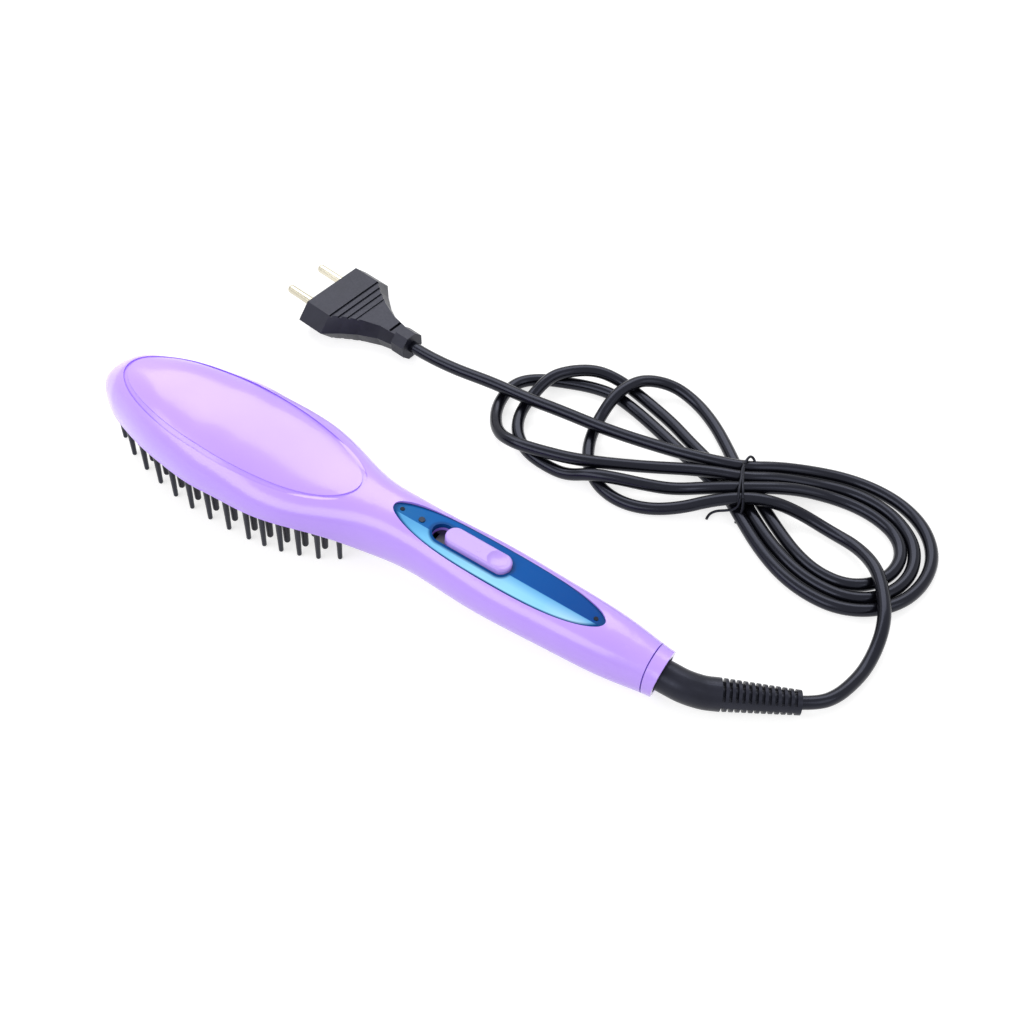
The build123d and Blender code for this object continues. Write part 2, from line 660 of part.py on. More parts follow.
def end_collar():
    """Ring that closes the tail, with a spigot inside the housings."""
    ring = body_form(0) & past(COLLAR_START + COLLAR_SEAM)
    beyond = block((0, -HEAD_WIDTH, -CROWN_HEIGHT), (BRUSH_LENGTH, HEAD_WIDTH, CROWN_HEIGHT))
    spigot = body_form(SHELL_WALL + SPIGOT_CLEARANCE) & past(COLLAR_START - COLLAR_SPIGOT)
    back = (COLLAR_START - 2 * COLLAR_SPIGOT, 0, RELIEF_HEIGHT)
    step = (COLLAR_START + RELIEF_STEP, 0, RELIEF_HEIGHT)
    tail = (BRUSH_LENGTH + 1, 0, RELIEF_HEIGHT)
    collar = ring + spigot
    collar -= rod(back, step, RELIEF_SHANK_RADIUS + FIT_CLEARANCE)
    collar -= rod(step, tail, RELIEF_FLANGE_RADIUS + FIT_CLEARANCE)
    return collar - Pos(BRUSH_LENGTH - TAIL_TRIM, 0, TAIL_TOP) * Rot(0, TAIL_LEAN, 0) * beyond


# ---- bristle frame, heating plate, tines -----------------------------------------------------
def needle(root_radius, tip_radius, root_height, tip_height, shank_radius, shank_length):
    """Tapered tine with a round tip and a shank, its root at the origin, raked towards the nose."""
    rake = math.radians(TINE_RAKE)
    reach = (root_height - tip_height - tip_radius) / math.cos(rake)
    over = root_radius
    root = (root_radius, 0, 0)
    profile = Polyline((0, 0, over), (root_radius, 0, over), root, (tip_radius, 0, -reach))
    diagonal = tip_radius * math.sqrt(0.5)
    profile += ThreePointArc(
        (tip_radius, 0, -reach), (diagonal, 0, -reach - diagonal), (0, 0, -reach - tip_radius)
    )
    profile += Line((0, 0, -reach - tip_radius), (0, 0, over))
    body = Rot(0, TINE_RAKE, 0) * revolve(make_face(profile), Axis.Z)
    reach_around = 2 * root_height
    body &= block((-reach_around, -reach_around, -reach_around), (reach_around, reach_around, 0))
    return body + shank(shank_radius, shank_length)


def shank(radius, length):
    """Raked shank of a tine, standing up from the origin, its top cut level."""
    rake = math.radians(TINE_RAKE)
    stem = Rot(0, TINE_RAKE, 0) * upright(0, 0, -radius, 2 * length, radius)
    return stem & block((-length * 2, -length, -math.sin(rake) * radius), (length * 2, length, length))


def guard_places(x):
    y = inset_half_width(x, TINE_INSET)
    return [(x, -y), (x, y)]


def pin_places(x):
    """Heated pins of one row, spread evenly between the outermost two."""
    outer = inset_half_width(x, PIN_INSET)
    if outer < PIN_ROW_LEAST or x > FRAME_END - PIN_INSET:
        return []
    gaps = round(2 * outer / PIN_SPACING)
    return [(x, -outer + 2 * outer * i / gaps) for i in range(gaps + 1)]


def bristle_frame():
    frame = prism(open_outline(FLANGE_INSET), FRAME_BOTTOM, SHELL_RIM)
    frame += prism(open_outline(FRAME_INSET), SHELL_RIM, FRAME_TOP)
    frame -= prism(head_outline(PLATE_INSET), FRAME_BOTTOM, PLATE_STEP_HEIGHT)
    frame -= prism(head_outline(PLATE_INSET + PLATE_STEP), PLATE_STEP_HEIGHT, FRAME_TOP)
    hole = shank(TINE_SHANK_RADIUS, SHELL_RIM - FRAME_BOTTOM)
    return frame - [Pos(a, b, FRAME_BOTTOM) * hole for x in ROW_PLACES for a, b in guard_places(x)]


def heating_plate():
    plate = prism(head_outline(PLATE_INSET + OVAL_CLEARANCE), PLATE_BOTTOM, PLATE_STEP_HEIGHT)
    plate += prism(head_outline(PLATE_INSET + PLATE_STEP + OVAL_CLEARANCE), PLATE_STEP_HEIGHT, FRAME_TOP)
    hole = shank(PIN_SHANK_RADIUS, FRAME_TOP - PLATE_BOTTOM)
    cuts = [Pos(a, b, PLATE_BOTTOM) * hole for x in ROW_PLACES for a, b in pin_places(x)]
    for x, y in plate_screw_places():
        cuts.append(upright(x, y, PLATE_BOTTOM, FRAME_TOP, PLATE_SCREW_RADIUS + FIT_CLEARANCE))
        sunk = PLATE_BOTTOM + PLATE_SCREW_HEAD
        cuts.append(upright(x, y, PLATE_BOTTOM, sunk, PLATE_SCREW_HEAD_RADIUS + FIT_CLEARANCE))
    for x, y in clamp_screw_places():
        low = FRAME_TOP + CLAMP_THICKNESS - CLAMP_SCREW_LENGTH
        cuts.append(upright(x, y, low, FRAME_TOP, CLAMP_SCREW_RADIUS))
    return plate - cuts


def guard_row(x):
    tine = needle(
        TINE_ROOT_RADIUS, TINE_TIP_RADIUS, FRAME_BOTTOM, 0, TINE_SHANK_RADIUS, SHELL_RIM - FRAME_BOTTOM
    )
    return [Pos(a, b, FRAME_BOTTOM) * tine for a, b in guard_places(x)]


def pin_row(x):
    pin = needle(
        PIN_ROOT_RADIUS,
        PIN_TIP_RADIUS,
        PLATE_BOTTOM,
        PIN_SHORTER,
        PIN_SHANK_RADIUS,
        FRAME_TOP - PLATE_BOTTOM,
    )
    return [Pos(a, b, PLATE_BOTTOM) * pin for a, b in pin_places(x)]


# ---- screws ----------------------------------------------------------------------------------
def screw(place, down, head_radius, head, radius, length):
    """Screw whose head's underside is at place; down is -1 for a shank that points down."""
    x, y, z = place
    ends = sorted((z, z + down * length))
    shaft = upright(x, y, ends[0], ends[1], radius)
    top = z - down * head
    ends = sorted((z, top))
    part = shaft + upright(x, y, ends[0], ends[1], head_radius)
    arm = 0.6 * head_radius
    thick = 0.15 * head_radius
    ends = sorted((top, top + down * 0.6 * head))
    part -= block((x - arm, y - thick, ends[0]), (x + arm, y + thick, ends[1]))
    part -= block((x - thick, y - arm, ends[0]), (x + thick, y + arm, ends[1]))
    return part


def plate_screws():
    return [
        screw((x, y, PLATE_BOTTOM + PLATE_SCREW_HEAD), 1, PLATE_SCREW_HEAD_RADIUS, PLATE_SCREW_HEAD,
              PLATE_SCREW_RADIUS, FRAME_TOP + PLATE_SCREW_GRIP - PLATE_BOTTOM - PLATE_SCREW_HEAD)
        for x, y in plate_screw_places()
    ]


def housing_screws():
    return [
        screw((x, 0, housing_split(x) - HOUSING_SCREW_GRIP / 2), 1, HOUSING_SCREW_HEAD_RADIUS,
              HOUSING_SCREW_HEAD, HOUSING_SCREW_RADIUS, HOUSING_SCREW_GRIP)
        for x in HOUSING_SCREWS_X
    ]


def clamp_screw_places():
    x = (ROW_PLACES[CLAMP_FOOT_ROW] + ROW_PLACES[CLAMP_FOOT_ROW + 1]) / 2
    y = heater_half_width() + CLAMP_THICKNESS + CLAMP_FOOT / 2
    return [(x, -y), (x, y)]


def clamp_screws():
    z = FRAME_TOP + CLAMP_THICKNESS
    return [
        screw(
            (x, y, z),
            -1,
            CLAMP_SCREW_HEAD_RADIUS,
            CLAMP_SCREW_HEAD,
            CLAMP_SCREW_RADIUS,
            CLAMP_SCREW_LENGTH,
        )
        for x, y in clamp_screw_places()
    ]


def cord_clamp_screws():
    z = RELIEF_HEIGHT + CORD_CLAMP_HEIGHT
    return [
        screw((CORD_CLAMP_X, y, z), -1, 1.8 * CORD_CLAMP_SCREW_RADIUS, 1.2, CORD_CLAMP_SCREW_RADIUS,
              CORD_CLAMP_SCREW_LENGTH)
        for y in (-CORD_CLAMP_SCREW_Y, CORD_CLAMP_SCREW_Y)
    ]


# ---- heater ----------------------------------------------------------------------------------
def heater_half_width():
    """Half width of the two heater strips with the sheet over them."""
    return HEATER_GAP / 2 + HEATER_WIDTH + HEATER_GAP


def ptc_heaters():
    strips = []
    for side in (-1, 1):
        across = sorted((side * HEATER_GAP / 2, side * (HEATER_GAP / 2 + HEATER_WIDTH)))
        strips.append(
            block(
                (HEATER_START, across[0], FRAME_TOP),
                (HEATER_START + HEATER_LENGTH, across[1], FRAME_TOP + HEATER_HEIGHT),
            )
        )
    return strips


def insulation_sheet():
    half = HEATER_GAP / 2 + HEATER_WIDTH
    low = FRAME_TOP + HEATER_HEIGHT
    return block(
        (HEATER_START, -half, low), (HEATER_START + HEATER_LENGTH, half, low + INSULATION_THICKNESS)
    )


def heater_clamp():
    """Steel channel that presses the heater strips on the plate."""
    half = heater_half_width()
    outer = half + CLAMP_THICKNESS
    low = FRAME_TOP + HEATER_HEIGHT + INSULATION_THICKNESS
    end = CLAMP_START + CLAMP_LENGTH
    clamp = block((CLAMP_START, -outer, low), (end, outer, low + CLAMP_THICKNESS))
    for side in (-1, 1):
        wall = sorted((side * half, side * outer))
        foot = sorted((side * half, side * (outer + CLAMP_FOOT)))
        clamp += block((CLAMP_START, wall[0], FRAME_TOP), (end, wall[1], low))
        clamp += block((CLAMP_START, foot[0], FRAME_TOP), (end, foot[1], FRAME_TOP + CLAMP_THICKNESS))
    hole = CLAMP_SCREW_RADIUS + FIT_CLEARANCE
    for x, y in clamp_screw_places():
        clamp -= upright(x, y, FRAME_TOP, FRAME_TOP + CLAMP_THICKNESS, hole)
    return clamp


def heater_lead_y():
    return (HEATER_GAP + HEATER_WIDTH) / 2


def heater_lead_z():
    return FRAME_TOP + FUSE_RADIUS


def thermal_fuse():
    """Thermal fuse on the plate, wired to the end of one heater strip."""
    y = -heater_lead_y()
    z = heater_lead_z()
    fuse = rod((FUSE_START, y, z), (FUSE_START + FUSE_LENGTH, y, z), FUSE_RADIUS)
    lead_end = FUSE_START + FUSE_LENGTH + FUSE_LEAD_LENGTH
    return fuse + rod((HEATER_START + HEATER_LENGTH, y, z), (lead_end, y, z), FUSE_LEAD_RADIUS)


def heater_lead(side):
    """Wire from the circuit board to one heater strip, or on the -Y side to the thermal fuse."""
    end_x = HEATER_START + HEATER_LENGTH
    if side < 0:
        end_x = FUSE_START + FUSE_LENGTH + FUSE_LEAD_LENGTH
    y = side * heater_lead_y()
    beside_boss = side * (HOUSING_BOSS_RADIUS + 2.2)
    screw_x = HOUSING_SCREWS_X[0]
    on_board = BOARD_START + POST_INSET
    points = (
        (end_x, y, heater_lead_z()),
        (end_x + 4, y, heater_lead_z()),
        (end_x + 12, y, heater_lead_z() + 0.5),
        (screw_x - 7, beside_boss, heater_lead_z() + 0.2),
        (screw_x + 5, beside_boss, panel_height(screw_x + 12, BOARD_TOP) + 4.0),
        (BOARD_START - 1, beside_boss - side * 0.4, panel_height(BOARD_START, BOARD_TOP) + 1.6),
        (on_board, beside_boss - side * 0.6, panel_height(on_board, BOARD_TOP) + WIRE_RADIUS),
    )
    return tube(points, WIRE_RADIUS)


# ---- control panel, button and switch --------------------------------------------------------
def panel_screw_places():
    reach = PANEL_LENGTH / 2 - PANEL_SCREW_INSET
    return (-reach, reach)


def control_panel():
    """Two sloping faces that meet in a ridge, over a flat back."""
    wide = PANEL_WIDTH
    ridge = PANEL_RIDGE_SIDE
    near = PANEL_CROWN * (wide + ridge) / (PANEL_WIDTH / 2 + ridge)
    far = PANEL_CROWN * (wide - ridge) / (PANEL_WIDTH / 2 - ridge)
    deep = -PANEL_DEPTH - near
    corners = [(0, -wide, deep), (0, -wide, -near), (0, ridge, 0), (0, wide, -far), (0, wide, deep)]
    roof = extrude(make_face(Polyline(*corners, close=True)), PANEL_LENGTH, dir=(1, 0, 0), both=True)
    panel = prism(panel_outline(0), -PANEL_DEPTH, PANEL_DEPTH) & roof
    panel -= prism(button_slot(BUTTON_CLEARANCE), -PANEL_DEPTH, PANEL_DEPTH)
    panel -= upright(along(LENS_PLACE), 0, -PANEL_DEPTH, PANEL_DEPTH, LENS_RADIUS + FIT_CLEARANCE)
    head = PANEL_SCREW_HEAD_RADIUS
    for x in panel_screw_places():
        panel -= upright(x, 0, -PANEL_DEPTH, PANEL_DEPTH, PANEL_SCREW_RADIUS + FIT_CLEARANCE)
        panel -= upright(x, 0, -head, PANEL_DEPTH, head + FIT_CLEARANCE)
    return on_panel(panel)


def panel_screws():
    screws = []
    for x in panel_screw_places():
        shaft = upright(x, 0, -PANEL_SCREW_LENGTH, -PANEL_SCREW_HEAD_RADIUS, PANEL_SCREW_RADIUS)
        head = upright(x, 0, -PANEL_SCREW_HEAD_RADIUS, -0.1, PANEL_SCREW_HEAD_RADIUS)
        screws.append(on_panel(shaft + head))
    return screws


def slide_button():
    middle = along(BUTTON_CENTRE)
    button = prism(Pos(middle, 0) * SlotOverall(BUTTON_LENGTH, BUTTON_WIDTH), SLIDER_TOP, BUTTON_HEIGHT)
    rim = button.edges().group_by(Axis.Z)[-1]
    button = fillet(rim, BUTTON_HEIGHT / 2)
    dimple_height = BUTTON_HEIGHT + DIMPLE_RADIUS - DIMPLE_DEPTH
    button -= Pos(middle + DIMPLE_OFFSET, 0, dimple_height) * Sphere(DIMPLE_RADIUS)
    for x in peg_places():
        button -= upright(x, 0, SLIDER_TOP, SLIDER_TOP + SLIDER_PEG_HEIGHT, SLIDER_PEG_RADIUS)
    return on_panel(button)


def peg_places():
    middle = along(BUTTON_CENTRE)
    return (middle - SLIDER_PEG_SPACING / 2, middle + SLIDER_PEG_SPACING / 2)


def lever_block(low, high, extra):
    """Box on the switch lever's axis, with extra room round it."""
    middle = along(BUTTON_CENTRE)
    half_length = LEVER_LENGTH / 2 + extra
    half_width = LEVER_WIDTH / 2 + extra
    return block((middle - half_length, -half_width, low), (middle + half_length, half_width, high))


def switch_slider():
    """Plate under the panel that carries the button and takes the switch lever along."""
    middle = along(BUTTON_CENTRE)
    reach = BUTTON_LENGTH / 2 + BUTTON_TRAVEL + SLIDER_OVERLAP
    half = SLIDER_WIDTH / 2
    slider = block((middle - reach, -half, SLIDER_BOTTOM), (middle + reach, half, SLIDER_TOP))
    for x in peg_places():
        slider += upright(x, 0, SLIDER_TOP, SLIDER_TOP + SLIDER_PEG_HEIGHT, SLIDER_PEG_RADIUS)
    notch_half = LED_RADIUS + BUTTON_CLEARANCE
    notch_end = along(LENS_PLACE) + notch_half + BUTTON_TRAVEL
    notch_start = middle - 2 * reach
    slider -= block((notch_start, -notch_half, SLIDER_BOTTOM), (notch_end, notch_half, SLIDER_TOP))
    return on_panel(slider - lever_block(SLIDER_BOTTOM, SLIDER_TOP, 0))


def switch_lever():
    return on_panel(lever_block(SWITCH_TOP - LEVER_DEPTH, SLIDER_TOP, 0))


def slide_switch():
    """Body of the switch, with the slot that its lever runs in."""
    middle = along(BUTTON_CENTRE) - BUTTON_TRAVEL / 2
    half = SWITCH_WIDTH / 2
    reach = SWITCH_LENGTH / 2
    body = block((middle - reach, -half, BOARD_TOP), (middle + reach, half, SWITCH_TOP))
    slot_reach = (LEVER_LENGTH + BUTTON_TRAVEL) / 2 + BUTTON_CLEARANCE
    slot_half = LEVER_WIDTH / 2 + BUTTON_CLEARANCE
    low = SWITCH_TOP - LEVER_DEPTH - BUTTON_CLEARANCE
    body -= block((middle - slot_reach, -slot_half, low), (middle + slot_reach, slot_half, SWITCH_TOP))
    return on_panel(body)


def circuit_board():
    start = along(BOARD_START)
    half = BOARD_WIDTH / 2
    return on_panel(block((start, -half, BOARD_BOTTOM), (start + BOARD_LENGTH, half, BOARD_TOP)))


def indicator_lens():
    return on_panel(upright(along(LENS_PLACE), 0, SEAT_BOTTOM, 0.1, LENS_RADIUS))


def indicator_led():
    """Light-emitting diode under the lens, standing on the board on two leads."""
    x = along(LENS_PLACE)
    base = SEAT_BOTTOM - LED_HEIGHT
    led = upright(x, 0, base, SEAT_BOTTOM - LED_RADIUS, LED_RADIUS)
    led += Pos(x, 0, SEAT_BOTTOM - LED_RADIUS) * Sphere(LED_RADIUS)
    for y in (-LED_RADIUS / 2, LED_RADIUS / 2):
        led += upright(x, y, BOARD_TOP, base, LED_LEAD_RADIUS)
    return on_panel(led)


# ---- mains cord inside the handle ------------------------------------------------------------
def cord_clamp():
    half = CORD_CLAMP_WIDTH / 2
    start = CORD_CLAMP_X - CORD_CLAMP_LENGTH / 2
    end = start + CORD_CLAMP_LENGTH
    clamp = block((start, -half, RELIEF_HEIGHT), (end, half, RELIEF_HEIGHT + CORD_CLAMP_HEIGHT))
    clamp -= rod((start - 1, 0, RELIEF_HEIGHT), (end + 1, 0, RELIEF_HEIGHT), CORD_RADIUS)
    for y in (-CORD_CLAMP_SCREW_Y, CORD_CLAMP_SCREW_Y):
        clamp -= upright(CORD_CLAMP_X, y, RELIEF_HEIGHT, RELIEF_HEIGHT + CORD_CLAMP_HEIGHT,
                         CORD_CLAMP_SCREW_RADIUS + FIT_CLEARANCE)
    return clamp


def inner_cord():
    end = COLLAR_START - COLLAR_SPIGOT - RELIEF_STOP_LENGTH
    return rod((JACKET_END_X, 0, RELIEF_HEIGHT), (end, 0, RELIEF_HEIGHT), CORD_RADIUS)


def supply_wire(side):
    """Wire from the end of the cord's jacket to the circuit board."""
    y = side * CORD_RADIUS / 2
    beside_boss = side * (HOUSING_BOSS_RADIUS + 1.7)
    screw_x = HOUSING_SCREWS_X[1]
    board_end = BOARD_START + BOARD_LENGTH
    on_board = board_end - POST_INSET
    points = (
        (JACKET_END_X, y, RELIEF_HEIGHT),
        (JACKET_END_X - 1.5, y, RELIEF_HEIGHT),
        (screw_x + 2.5, beside_boss, RELIEF_HEIGHT + 0.4),
        (screw_x - 4, beside_boss + side * 0.2, RELIEF_HEIGHT + 2.0),
        (board_end + 1, beside_boss, panel_height(board_end, BOARD_TOP) + 1.4),
        (on_board, beside_boss, panel_height(on_board, BOARD_TOP) + WIRE_RADIUS),
    )
    return tube(points, WIRE_RADIUS)


# ---- strain relief, cord and hank ------------------------------------------------------------
def strain_relief():
    """Moulded relief: a stop and a flange in the collar, a smooth bent neck, then a ribbed cone."""
    back = COLLAR_START - COLLAR_SPIGOT
    z = RELIEF_HEIGHT
    relief = rod((back - RELIEF_STOP_LENGTH, 0, z), (back, 0, z), RELIEF_STOP_RADIUS)
    relief = relief & body_form(SHELL_WALL + OVAL_CLEARANCE)
    step = COLLAR_START + RELIEF_STEP + FIT_CLEARANCE
    relief += rod((back, 0, z), (step, 0, z), RELIEF_SHANK_RADIUS)
    relief += rod((step, 0, z), (BRUSH_LENGTH - RELIEF_RECESS, 0, z), RELIEF_FLANGE_RADIUS)
    bend = Vector(*RELIEF_PATH[2])
    run = Vector(*RELIEF_PATH[3]) - bend
    axis = run.normalized()
    rib_start = bend + axis * RELIEF_RIB_START
    neck_points = list(RELIEF_PATH[:3]) + [tuple(rib_start)]
    relief += tube(neck_points, RELIEF_ROOT_RADIUS)
    length = (Vector(*RELIEF_PATH[3]) - rib_start).length
    cone = Cone(RELIEF_ROOT_RADIUS, RELIEF_END_RADIUS, length, align=STAND)
    pitch = length / (RELIEF_RIBS + 0.5)
    wide = 2 * RELIEF_ROOT_RADIUS
    core = Cylinder(RELIEF_CORE_RADIUS, length, align=STAND)
    for i in range(RELIEF_RIBS):
        low = (i + 0.25) * pitch
        for side in (-1, 1):
            across = sorted((side * RELIEF_SPINE, side * wide))
            slot = block((across[0], -wide, low), (across[1], wide, low + RELIEF_SLOT_WIDTH))
            cone -= slot - core
    lean = math.radians(RELIEF_SLOT_LEAN)
    upwards = Vector(0, math.sin(lean), math.cos(lean))
    return relief + Plane(rib_start, x_dir=upwards.cross(axis).cross(axis) * -1, z_dir=axis) * cone


def onwards(start, end, distance):
    """Point that lies distance past end on the line from start."""
    direction = (Vector(*end) - Vector(*start)).normalized()
    return tuple(Vector(*end) + direction * distance)


def relief_lead_route():
    run_in = onwards(RELIEF_PATH[2], RELIEF_PATH[3], LEAD_RUN)
    run_out = onwards(HANK_ENTRY, RELIEF_LEAD_END, LEAD_RUN)
    return [RELIEF_PATH[3], run_in, *RELIEF_LEAD, run_out, RELIEF_LEAD_END]


def plug_lead_route():
    tie = (*TIE_PLACE, PLUG_LEAD_START[2])
    run_in = onwards(tie, PLUG_LEAD_START, LEAD_RUN)
    heading = math.radians(PLUG_HEADING)
    front = (*PLUG_FRONT, PLUG_THICKNESS / 2)
    far = (front[0] + math.cos(heading), front[1] + math.sin(heading), front[2])
    collar = onwards(far, front, -PLUG_BODY_LENGTH - PLUG_COLLAR_LENGTH)
    run_out = onwards(far, front, -PLUG_BODY_LENGTH - PLUG_COLLAR_LENGTH - LEAD_RUN)
    return [PLUG_LEAD_START, run_in, *PLUG_LEAD, run_out, collar]


def cord_relief_lead():
    return tube(relief_lead_route(), CORD_RADIUS)


def cord_plug_lead():
    return tube(plug_lead_route(), CORD_RADIUS)


def strand(start, end):
    """Plan face of one straight stretch of cord between two points."""
    run = Vector(*end) - Vector(*start)
    middle = (Vector(*end) + Vector(*start)) / 2
    angle = math.degrees(math.atan2(run.Y, run.X))
    return Pos(middle.X, middle.Y) * Rot(0, 0, angle) * Rectangle(run.length, CORD_DIAMETER)


def cord_hank():
    """Outer form of the cord wound in a loose figure of eight and tied in the middle."""
    x, y = TIE_PLACE
    plan = Pos(x, y) * Rot(0, 0, TIE_HEADING) * Rectangle(BUNDLE_LENGTH, BUNDLE_WIDTH)
    plan += Pos(x, y) * Rot(0, 0, CROSSING_HEADING) * Rectangle(CROSSING_LENGTH, CROSSING_WIDTH)
    for cx, cy, a, b in HANK_LOOPS:
        ring = Ellipse(a + CORD_RADIUS, b + CORD_RADIUS) - Ellipse(a - CORD_RADIUS, b - CORD_RADIUS)
        plan += Pos(x + cx, y + cy) * ring
    plan += strand(TIE_PLACE, HANK_ENTRY[:2])
    plan += strand(HANK_ENTRY[:2], RELIEF_LEAD_END[:2])
    plan += strand(TIE_PLACE, PLUG_LEAD_START[:2])
    return prism(plan, 0, HANK_LAYERS * CORD_DIAMETER) - twist_tie()


def twist_tie():
    """Wire tie round the middle of the hank, lying in a groove of the bundle underneath."""
    wire = 2 * TIE_WIRE_RADIUS
    half = BUNDLE_WIDTH / 2
    top = HANK_LAYERS * CORD_DIAMETER
    outer = block((-TIE_WIRE_RADIUS, -half - wire, 0), (TIE_WIRE_RADIUS, half + wire, top + wire))
    inner = block((-wire, -half, wire), (wire, half, top))
    return Pos(*TIE_PLACE, 0) * Rot(0, 0, TIE_HEADING) * (outer - inner)


# ---- plug ------------------------------------------------------------------------------------
def on_plug(part):
    """Places a piece made in the plug's frame: X from the front face to the cord, Z up."""
    return Pos(*PLUG_FRONT, 0) * Rot(0, 0, PLUG_HEADING) * part


def plug_section(x, width, top_width, thickness):
    """Flat hexagon across the plug at x."""
    middle = PLUG_THICKNESS / 2
    w = width / 2
    t = top_width / 2
    h = thickness / 2
    upper = [(x, w, middle), (x, t, middle + h), (x, -t, middle + h)]
    lower = [(x, -w, middle), (x, -t, middle - h), (x, t, middle - h)]
    return make_face(Polyline(*upper, *lower, close=True))


def plug_body():
    neck = PLUG_NECK_WIDTH
    taper = PLUG_BODY_LENGTH - PLUG_STRAIGHT
    places = ((0.0, 1.0, 1.0), (0.2, 0.66, 0.99), (0.42, 0.36, 0.95), (0.7, 0.1, 0.88), (1.0, 0.0, 0.74))
    sections = []
    for along_taper, spread, thickness in places:
        width = neck + spread * (PLUG_WIDTH - neck)
        top = 0.62 * neck + spread * (PLUG_TOP_WIDTH - 0.62 * neck)
        place = PLUG_STRAIGHT + along_taper * taper
        sections.append(plug_section(place, width, top, thickness * PLUG_THICKNESS))
    front = loft([plug_section(0, PLUG_WIDTH, PLUG_TOP_WIDTH, PLUG_THICKNESS), sections[0]], ruled=True)
    body = front + loft(sections, ruled=True)
    middle = PLUG_THICKNESS / 2
    polygon = Rot(0, 0, 180 / PLUG_COLLAR_SIDES) * RegularPolygon(PLUG_COLLAR_RADIUS, PLUG_COLLAR_SIDES)
    root = Plane((PLUG_BODY_LENGTH - 1, 0, middle), x_dir=(0, 1, 0), z_dir=(1, 0, 0))
    body += extrude(root * polygon, PLUG_COLLAR_LENGTH + 1, dir=(1, 0, 0))
    half = PLUG_TOP_WIDTH / 2
    for i in range(PLUG_GRIPS):
        start = PLUG_STRAIGHT + i * PLUG_GRIP_PITCH
        end = start + PLUG_GRIP_WIDTH
        for low in (-PLUG_GRIP_DEPTH, PLUG_THICKNESS - PLUG_GRIP_DEPTH):
            body -= block((start, -half, low), (end, half, low + 2 * PLUG_GRIP_DEPTH))
    slot_end = PLUG_SLOT_PLACE + PLUG_SLOT_WIDTH
    slot_floor = PLUG_THICKNESS - PLUG_SLOT_DEPTH
    body -= block((PLUG_SLOT_PLACE, -neck / 3, slot_floor), (slot_end, neck / 3, PLUG_THICKNESS))
    for y in (-PLUG_PIN_PITCH / 2, PLUG_PIN_PITCH / 2):
        body -= rod((0, y, middle), (PLUG_PIN_ROOT, y, middle), PLUG_PIN_ROOT_RADIUS)
    return on_plug(body)


def plug_pins():
    middle = PLUG_THICKNESS / 2
    pins = []
    for y in (-PLUG_PIN_PITCH / 2, PLUG_PIN_PITCH / 2):
        shoulder = (-PLUG_PIN_STANDOFF, y, middle)
        tip = (-PLUG_PIN_LENGTH + PLUG_PIN_RADIUS, y, middle)
        pin = rod((PLUG_PIN_ROOT, y, middle), shoulder, PLUG_PIN_ROOT_RADIUS)
        pin += rod(shoulder, tip, PLUG_PIN_RADIUS)
        pin += Pos(*tip) * Sphere(PLUG_PIN_RADIUS)
        pins.append(on_plug(pin))
    return pins


def save(name, shape):
    """Writes one sub-part, with the origin moved under the middle of the brush."""
    solids = shape if isinstance(shape, list) else [shape]
    placed = [Pos(-BRUSH_MIDDLE, 0, 0) * s for s in solids]
    export_step(placed[0] if len(placed) == 1 else Compound(children=placed), f"parts/{name}.step")


os.makedirs("parts", exist_ok=True)
save("upper_housing", upper_housing())
save("lower_housing", lower_housing())
save("end_collar", end_collar())
save("bristle_frame", bristle_frame())
save("heating_plate", heating_plate())
for number, row_x in enumerate(ROW_PLACES, start=1):
    save(f"guard_tines_{number:02d}", guard_row(row_x))
    if pin_places(row_x):
        save(f"heated_pins_{number:02d}", pin_row(row_x))
save("plate_screws", plate_screws())
save("housing_screws", housing_screws())
save("ptc_heaters", ptc_heaters())
save("insulation_sheet", insulation_sheet())
save("heater_clamp", heater_clamp())
save("clamp_screws", clamp_screws())
save("thermal_fuse", thermal_fuse())
save("heater_leads", [heater_lead(1), heater_lead(-1)])
save("control_panel", control_panel())
save("panel_screws", panel_screws())
save("slide_button", slide_button())
save("switch_slider", switch_slider())
save("switch_lever", switch_lever())
save("slide_switch", slide_switch())
save("circuit_board", circuit_board())
save("indicator_lens", indicator_lens())
save("indicator_led", indicator_led())
save("cord_clamp", cord_clamp())
save("cord_clamp_screws", cord_clamp_screws())
save("inner_cord", inner_cord())
save("supply_wires", [supply_wire(1), supply_wire(-1)])
save("strain_relief", strain_relief())
save("cord_relief_lead", cord_relief_lead())
save("cord_hank", cord_hank())
save("cord_plug_lead", cord_plug_lead())
save("twist_tie", twist_tie())
save("plug_body", plug_body())
save("plug_pins", plug_pins())

for label, route in (("relief lead", relief_lead_route()), ("plug lead", plug_lead_route())):
    print(label, "radii", [round(r, 1) for r in corner_radii(route)])
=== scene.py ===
import json
import math

import bmesh
import bpy
from mathutils import Matrix, Vector


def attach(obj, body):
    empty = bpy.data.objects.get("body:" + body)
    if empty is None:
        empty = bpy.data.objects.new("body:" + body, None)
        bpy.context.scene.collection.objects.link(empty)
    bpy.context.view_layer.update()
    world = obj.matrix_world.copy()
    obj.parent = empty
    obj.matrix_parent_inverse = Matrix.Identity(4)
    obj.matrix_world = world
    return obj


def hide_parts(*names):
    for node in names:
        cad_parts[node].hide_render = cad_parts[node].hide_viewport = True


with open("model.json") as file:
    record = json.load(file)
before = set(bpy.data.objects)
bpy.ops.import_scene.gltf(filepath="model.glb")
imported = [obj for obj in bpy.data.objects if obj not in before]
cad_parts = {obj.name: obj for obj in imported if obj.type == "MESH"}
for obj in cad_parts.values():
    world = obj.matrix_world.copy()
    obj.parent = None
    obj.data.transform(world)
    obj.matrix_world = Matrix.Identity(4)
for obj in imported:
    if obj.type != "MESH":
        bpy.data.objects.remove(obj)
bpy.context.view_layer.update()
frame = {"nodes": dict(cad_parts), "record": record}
nodes = frame["nodes"]
